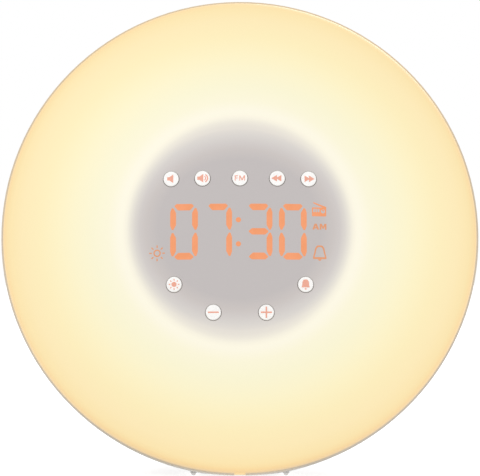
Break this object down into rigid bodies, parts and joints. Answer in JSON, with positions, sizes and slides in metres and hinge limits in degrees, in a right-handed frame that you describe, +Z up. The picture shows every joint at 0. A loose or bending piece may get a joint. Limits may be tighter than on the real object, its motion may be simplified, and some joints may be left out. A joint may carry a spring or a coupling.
{
  "type": "sunrise alarm clock",
  "caption": "Round bedside sunrise lamp with a milky domed face, a glowing digital clock in its middle, small push buttons, and a rounded back with a speaker.",
  "frame": {"origin": "middle of the footprint of the whole object, on the surface that it stands on", "axes": "+Z up; -Y towards the sleeper, the way the face looks; +X to the right of a viewer in front"},
  "size_m": [0.179, 0.1192, 0.1787],
  "materials": {
    "cover": "milky translucent plastic with a soft sheen",
    "housing": "warm light grey moulded plastic, fine grain",
    "grille": "warm grey perforated plastic",
    "button": "white plastic caps, satin",
    "display_tube": "dark grey plastic",
    "display_block": "grey plastic light wells",
    "segment_lit": "clear amber light guides",
    "segment_unlit": "clear light guides, off",
    "led": "LED resin",
    "reflector": "white reflective plastic",
    "circuit_board": "green solder mask",
    "switch": "black plastic switch bodies",
    "chip": "black moulded package",
    "tin_can": "tinned steel shield",
    "capacitor": "sleeved aluminium can",
    "connector": "natural nylon",
    "speaker_frame": "black pressed steel",
    "speaker_cone": "dark paper pulp",
    "speaker_rubber": "soft black rubber",
    "magnet": "ferrite and zinc-plated steel",
    "screw": "zinc-plated steel",
    "wire": "soft insulated wire",
    "ribbon": "grey flat cable",
    "socket": "black plastic socket",
    "pin": "plated brass",
    "foot": "grey rubber"
  },
  "bodies": {
    "lamp": {"aerial_gland": "foot", "board_connectors": "connector", "board_screws": "screw", "capacitors": "capacitor", "control_chip": "chip", "cup_screws": "screw", "digit_leds": "led", "display_board": "circuit_board", "display_cup": "display_tube", "display_ribbon": "ribbon", "front_diffuser": "cover", "front_feet": "foot", "housing_screws": "screw", "lamp_board": "circuit_board", "lamp_leads": "wire", "lamp_leds": "led", "lamp_reflector": "reflector", "main_board": "circuit_board", "power_jack": "socket", "power_jack_pin": "pin", "power_leads": "wire", "radio_module": "tin_can", "rear_foot": "foot", "rear_shell": "housing", "segment_housing": "display_block", "segments_lit": "segment_lit", "segments_unlit": "segment_unlit", "speaker_basket": "speaker_frame", "speaker_cone": "speaker_cone", "speaker_gasket": "speaker_rubber", "speaker_grille": "grille", "speaker_leads": "wire", "speaker_magnet": "magnet", "speaker_screws": "screw", "speaker_surround": "speaker_rubber", "tact_switches": "switch"},
    "volume_down_key": {"button_volume_down": "button"},
    "volume_up_key": {"button_volume_up": "button"},
    "radio_key": {"button_radio": "button"},
    "tune_down_key": {"button_tune_down": "button"},
    "tune_up_key": {"button_tune_up": "button"},
    "lamp_key": {"button_lamp": "button"},
    "alarm_key": {"button_alarm": "button"},
    "minus_key": {"button_minus": "button"},
    "plus_key": {"button_plus": "button"}
  },
  "joints": [
    {"name": "volume_down_press", "type": "slide", "parent": "lamp", "child": "volume_down_key", "axis": [0, 0.9925, -0.1219], "range_m": [0, 0.0005], "stiffness_N_per_m": 150},
    {"name": "volume_up_press", "type": "slide", "parent": "lamp", "child": "volume_up_key", "axis": [0, 0.9925, -0.1219], "range_m": [0, 0.0005], "stiffness_N_per_m": 150},
    {"name": "radio_press", "type": "slide", "parent": "lamp", "child": "radio_key", "axis": [0, 0.9925, -0.1219], "range_m": [0, 0.0005], "stiffness_N_per_m": 150},
    {"name": "tune_down_press", "type": "slide", "parent": "lamp", "child": "tune_down_key", "axis": [0, 0.9925, -0.1219], "range_m": [0, 0.0005], "stiffness_N_per_m": 150},
    {"name": "tune_up_press", "type": "slide", "parent": "lamp", "child": "tune_up_key", "axis": [0, 0.9925, -0.1219], "range_m": [0, 0.0005], "stiffness_N_per_m": 150},
    {"name": "lamp_press", "type": "slide", "parent": "lamp", "child": "lamp_key", "axis": [0, 0.9925, -0.1219], "range_m": [0, 0.0005], "stiffness_N_per_m": 150},
    {"name": "alarm_press", "type": "slide", "parent": "lamp", "child": "alarm_key", "axis": [0, 0.9925, -0.1219], "range_m": [0, 0.0005], "stiffness_N_per_m": 150},
    {"name": "minus_press", "type": "slide", "parent": "lamp", "child": "minus_key", "axis": [0, 0.9925, -0.1219], "range_m": [0, 0.0005], "stiffness_N_per_m": 150},
    {"name": "plus_press", "type": "slide", "parent": "lamp", "child": "plus_key", "axis": [0, 0.9925, -0.1219], "range_m": [0, 0.0005], "stiffness_N_per_m": 150}
  ]
}
